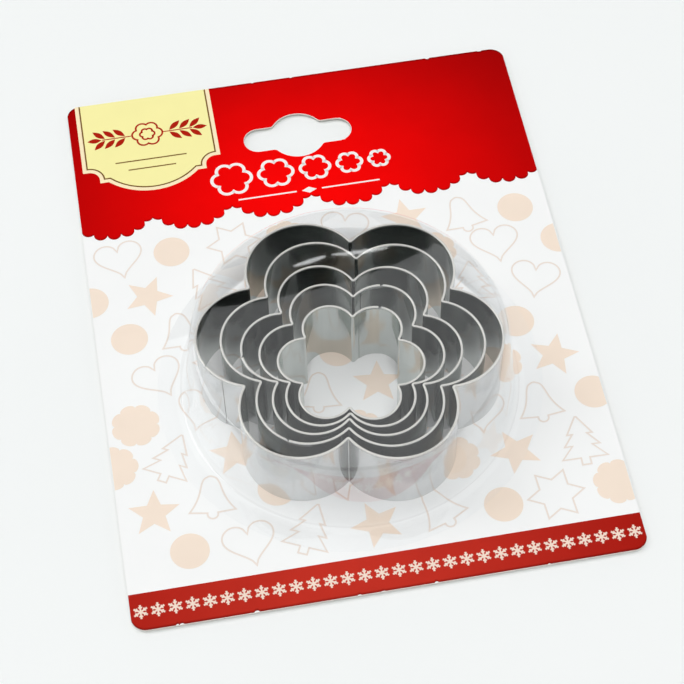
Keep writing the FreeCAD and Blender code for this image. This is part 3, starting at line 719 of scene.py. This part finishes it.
def steel_finish():
    """Rolled steel: fine lines along the strip and broader smears across it, from noise stretched on the strip's UV
    map, and cloudy smudges; they shift tone and roughness a little, and the lines draw reflections out upright. The
    inner faces carry painted shade, a darker greenish tone; the outer ones scatter some light. Painted shade also
    darkens every wall seen by a mirror ray, the outer faces most. The bead is paler, rougher and less mirror-like,
    but not on the lap; two dull weld spots sit behind the free end."""
    finish, tree, shader = new_finish("rolled_steel", {"Anisotropic": 0.7, "Anisotropic Rotation": 0.25})
    place = tree.nodes.new("ShaderNodeTexCoord").outputs
    strip = place["UV"]

    def streaks(stretch, detail, roughness):
        """Noise drawn out along or across the strip."""
        lay = add_node(tree, "ShaderNodeMapping", {"Vector": strip, "Scale": stretch}).outputs["Vector"]
        return noise(tree, lay, 1.0, detail, roughness)

    lines = streaks(ROLLED_LINES, detail=4.0, roughness=0.65)
    smears = streaks(BRUSH_SMEARS, detail=3.0, roughness=0.6)
    smudge = noise(tree, place["Object"], SMUDGE_SCALE, detail=3.0, roughness=0.55)
    marks = maths(tree, "ADD", maths(tree, "MULTIPLY_ADD", lines, LINES_SHARE, smears), smudge)
    tone = ramp(tree, map_range(tree, marks, *MARKS_RANGE), (0.0, STEEL_DARK), (1.0, STEEL_LIGHT))

    upward = part_of(tree, tree.nodes.new("ShaderNodeNewGeometry").outputs["Normal"], "Z")
    sheared = map_range(tree, maths(tree, "ABSOLUTE", upward), *SHEARED_SLOPE)
    past_lap = map_range(tree, part_of(tree, strip, "X"), *PAST_LAP)
    edge = maths(tree, "MULTIPLY", sheared, past_lap)
    from_welds = [
        add_node(tree, "ShaderNodeVectorMath", {0: strip, 1: weld_at}, operation="DISTANCE").outputs["Value"]
        for weld_at in WELDS
    ]
    weld = map_range(tree, maths(tree, "MINIMUM", *from_welds), WELD_EDGE, WELD_CORE, 0.0, WELD_STRENGTH)

    inner = add_node(tree, "ShaderNodeAttribute", attribute_name="inside").outputs["Fac"]
    # Painted shade: inner faces darker, and every wall darker again when seen by a mirror ray, the outer faces most.
    mirrored_ray = tree.nodes.new("ShaderNodeLightPath").outputs["Is Glossy Ray"]
    inside_shaded = mix(tree, inner, tone, INNER_SHADE_TONE, "MULTIPLY")
    mirror_shaded = mix(tree, mirrored_ray, inside_shaded, mix(tree, inner, MIRROR_SHADE_OUTER, MIRROR_SHADE_INNER), "MULTIPLY")
    welded = mix(tree, weld, mirror_shaded, WELD_GREY)
    bare = map_range(tree, edge, 0.0, 1.0, 1.0, SHEARED_METAL)
    rough = maths(tree, "MAXIMUM", map_range(tree, smudge, *SMUDGE_RANGE, *STEEL_ROUGHNESS), weld)
    rough_inputs = {"Factor": edge, "A": rough, "B": SHEARED_ROUGHNESS}
    feed(tree, shader, {
        "Base Color": mix(tree, edge, welded, SHEARED_PALE),
        "Metallic": maths(tree, "MULTIPLY", bare, map_range(tree, inner, 0.0, 1.0, OUTER_METAL, 1.0)),
        "Roughness": add_node(tree, "ShaderNodeMix", rough_inputs, data_type="FLOAT").outputs["Result"],
        "Normal": bump(tree, lines, LINES_RELIEF, LINES_DEPTH),
        "Tangent": add_node(
            tree, "ShaderNodeTangent", direction_type="UV_MAP", uv_map="along_strip"
        ).outputs["Tangent"],
    })
    return finish


steel = steel_finish()
for number, layout in enumerate(CUTTERS, start=1):
    add_strip(number, layout, steel)


# Blister: one sheet of clear film, vacuum-formed over a round block. A flat flange is sealed to the card;
# from it a small foot bend, a leaning wall, a rounded shoulder and a nearly flat, faintly crowned top.
BLISTER_Y, FILM, DOME_TOP, DOME_CROWN, DOME_LEAN = -23.7, 0.4, 23.8, 0.15, np.radians(7.0)
WALL_RADIUS, SHOULDER, FOOT_BEND, FLANGE, SEAL, SEAL_START = 41.8, 2.5, 1.4, 6.0, 0.56, 47.2
FLANGE_POINTS, FOOT_POINTS, WALL_POINTS, SHOULDER_POINTS, TOP_POINTS, SEGMENTS = 8, 9, 10, 11, 15, 240
FILM_CLEAR, FILM_SEALED = (0.996, 0.997, 0.998, 1.0), (0.986, 0.987, 0.988, 1.0)
FILM_MIRROR, FILM_SHARP = (0.95, 0.97, 0.98, 1.0), np.radians(50)
FILM_IOR, RIPPLE_SCALE, RIPPLE_RELIEF, RIPPLE_DEPTH = 1.7, 55.0, 0.008, 0.3


def film_section(offset):
    """Half section of one face of the film, from the rim in to the top's middle: flange, foot arc, leaning wall,
    shoulder arc, crowned top. The offset is 0 for the inner face and the film's thickness for the outer one."""
    inner = SHOULDER - FILM
    top = np.array((WALL_RADIUS - inner * np.cos(DOME_LEAN), DOME_TOP - inner))
    low_z = SEAL + FILM + FOOT_BEND
    reach = inner + FILM + FOOT_BEND
    low_r = top[0] + (reach + (top[1] - low_z) * np.sin(DOME_LEAN)) / np.cos(DOME_LEAN)
    flange_r = np.linspace(low_r + FLANGE, low_r, FLANGE_POINTS)[:-1]
    flange = np.column_stack([flange_r, np.full(len(flange_r), SEAL + offset)])
    foot_turn = np.linspace(-np.pi / 2, -np.pi + DOME_LEAN, FOOT_POINTS)
    foot = polar(FOOT_BEND + FILM - offset, foot_turn) + (low_r, low_z)
    shoulder = polar(inner + offset, np.linspace(DOME_LEAN, np.pi / 2, SHOULDER_POINTS)) + top
    wall = foot[-1] + np.linspace(0, 1, WALL_POINTS)[1:-1, None] * (shoulder[0] - foot[-1])
    flat_r = top[0] * np.linspace(1, 0, TOP_POINTS)[1:-1]
    flat = np.column_stack([flat_r, DOME_TOP + offset + DOME_CROWN * (1 - (flat_r / top[0]) ** 2) ** 2])
    return np.concatenate([flange, foot, wall, shoulder, flat])


def film_finish():
    """Thin clear film: see-through with a faint cool tint, a little hazier on the sealed flange. It mirrors by
    Fresnel's law where its outside is seen, and lets shadow rays pass; slow noise makes it ripple slightly."""
    values = {"Roughness": 0.015, "Base Color": FILM_MIRROR, "Metallic": 1.0}
    finish, tree, shader = new_finish("clear_film", values)
    place = tree.nodes.new("ShaderNodeTexCoord").outputs["Object"]
    from_axis = {0: place, 1: (0.0, BLISTER_Y * MM, 0.0)}
    away = add_node(tree, "ShaderNodeVectorMath", from_axis, operation="DISTANCE").outputs["Value"]
    tint = mix(tree, maths(tree, "GREATER_THAN", away, SEAL_START * MM), FILM_CLEAR, FILM_SEALED)
    clear = add_node(tree, "ShaderNodeBsdfTransparent", {"Color": tint})
    ripple = noise(tree, place, RIPPLE_SCALE, detail=1.0)
    feed(tree, shader, {"Normal": bump(tree, ripple, RIPPLE_RELIEF, RIPPLE_DEPTH)})
    fresnel = add_node(tree, "ShaderNodeFresnel", {"IOR": FILM_IOR}).outputs["Fac"]
    inside = tree.nodes.new("ShaderNodeNewGeometry").outputs["Backfacing"]
    shadow_ray = tree.nodes.new("ShaderNodeLightPath").outputs["Is Shadow Ray"]
    passed = maths(tree, "MAXIMUM", inside, shadow_ray)
    share = maths(tree, "MULTIPLY", fresnel, maths(tree, "SUBTRACT", 1.0, passed))
    layers = {"Fac": share, 1: clear.outputs["BSDF"], 2: shader.outputs["BSDF"]}
    blend = add_node(tree, "ShaderNodeMixShader", layers)
    feed(tree, tree.nodes["Material Output"], {"Surface": blend.outputs["Shader"]})
    return finish


def add_blister():
    """Both faces of the film turned round the upright axis, joined at the rim; each middle is one point."""
    section = np.concatenate([film_section(0.0)[::-1], film_section(FILM)])
    turn = full_turn(SEGMENTS)
    x, y = section[:, 0, None] * np.cos(turn), BLISTER_Y + section[:, 0, None] * np.sin(turn)
    rings = np.stack([x, y, np.broadcast_to(section[:, 1, None], x.shape)], axis=-1).reshape(-1, 3)
    middles = [(0, BLISTER_Y, DOME_TOP + DOME_CROWN), (0, BLISTER_Y, DOME_TOP + DOME_CROWN + FILM)]
    points = np.concatenate([rings, middles])
    step = np.arange(SEGMENTS)
    after = (step + 1) % SEGMENTS
    last = (len(section) - 1) * SEGMENTS
    under = np.column_stack([after, step, np.full(SEGMENTS, len(rings))])
    over = np.column_stack([step + last, after + last, np.full(SEGMENTS, len(rings) + 1)])
    quads = grid_quads(len(section), SEGMENTS, close_columns=True)
    piece = add_piece("clear_blister", points, quads.tolist() + under.tolist() + over.tolist(), film_finish())
    piece.data.shade_smooth()
    piece.data.set_sharp_from_angle(angle=FILM_SHARP)
    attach(piece, "cover")
    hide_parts("blister")
    return piece


add_blister()


# Studio: a pale matt table just under the card; a main lamp high in front, hidden from mirror rays; a soft lamp
# behind on the left; a ceiling panel and two thin tubes that show in the film as a veil and streaks; a pale wall
# all round with a dark ceiling; and the camera over the card's foot. Lamps and camera are placed in metres.
TABLE_HALF, TABLE_GAP, TABLE_CLOUDS = 4000.0, 0.65, 6.0
SET_MIDDLE = (0.0, -0.02, 0.01)
PANEL_TURN = np.radians(9.6)
WALL_PALE, CEILING_DARK = (0.95, 0.96, 0.97, 1.0), (0.02, 0.02, 0.022, 1.0)


def table_finish():
    """Matt pale board with faint cloudy tones."""
    finish, tree, shader = new_finish("pale_table", {"Roughness": 0.75})
    place = tree.nodes.new("ShaderNodeTexCoord").outputs["Object"]
    cloud = noise(tree, place, TABLE_CLOUDS, detail=2.0)
    feed(tree, shader, {"Base Color": ramp(tree, cloud, (0.0, srgb(244, 247, 246)), (1.0, srgb(248, 250, 249)))})
    return finish


corners = np.array([(-1, -1, 0), (1, -1, 0), (1, 1, 0), (-1, 1, 0)]) * TABLE_HALF - (0, 0, TABLE_GAP)
add_piece("table", corners, [[0, 1, 2, 3]], table_finish())


def add_lamp(name, place, power, size, size_y=None):
    """Square area lamp, turned to face the set's middle; a second size makes it a rectangle."""
    data = bpy.data.lights.new(name, "AREA")
    data.energy = power
    data.size = size
    if size_y:
        data.shape = "RECTANGLE"
        data.size_y = size_y
    lamp = bpy.data.objects.new(name, data)
    lamp.location = place
    lamp.rotation_euler = (Vector(SET_MIDDLE) - Vector(place)).to_track_quat("-Z", "Y").to_euler()
    bpy.context.scene.collection.objects.link(lamp)
    return lamp


def add_tube(name, start, end, thick, power):
    """Thin tube lamp between two points, facing down at the pack."""
    start, end = Vector(start), Vector(end)
    middle = (start + end) / 2
    lamp = add_lamp(name, middle, power, (end - start).length, thick)
    down = (Vector(SET_MIDDLE) - middle).normalized()
    side = down.cross((end - start).normalized()).normalized()
    across = side.cross(down).normalized()
    lamp.rotation_euler = Matrix((across, -side, -down)).transposed().to_euler()
    lamp.data.shape = "ELLIPSE"
    return lamp


main_lamp = add_lamp("main_lamp", place=(-0.086, -0.951, 2.447), power=26.8, size=0.75)
main_lamp.visible_glossy = False
add_lamp("soft_lamp_left", place=(-1.575, 0.835, 1.87), power=15.6, size=1.35)
panel = add_lamp("ceiling_panel", place=(0.3, 0.243, 1.5), power=8.9, size=1.6, size_y=1.68)
panel.rotation_euler = (0.0, 0.0, PANEL_TURN)
add_tube("tube_lamp_a", start=(0.108, 1.1075, 1.5), end=(0.154, 1.1183, 1.5), thick=0.0046, power=0.0037)
add_tube("tube_lamp_b", start=(0.161, 1.1192, 1.5), end=(0.243, 1.1123, 1.5), thick=0.0042, power=0.0052)

world = bpy.data.worlds.new("studio_room")
bpy.context.scene.world = world
world.use_nodes = True
room = world.node_tree
look_up = part_of(room, room.nodes.new("ShaderNodeTexCoord").outputs["Generated"], "Z")
walls = ramp(room, look_up, (0.3, WALL_PALE), (0.6, CEILING_DARK))
feed(room, room.nodes["Background"], {"Color": walls})

camera_data = bpy.data.cameras.new("camera")
camera_data.lens = 102.25
camera_data.sensor_width = 36.0
camera_data.clip_start = 0.02
camera_data.clip_end = 50.0
camera = bpy.data.objects.new("camera", camera_data)
camera.location = (-0.04598, -0.30658, 0.44114)
camera.rotation_euler = np.radians((34.194, 0.763, -9.968))
bpy.context.scene.collection.objects.link(camera)
bpy.context.scene.camera = camera
bpy.context.scene.view_settings.view_transform = "Standard"
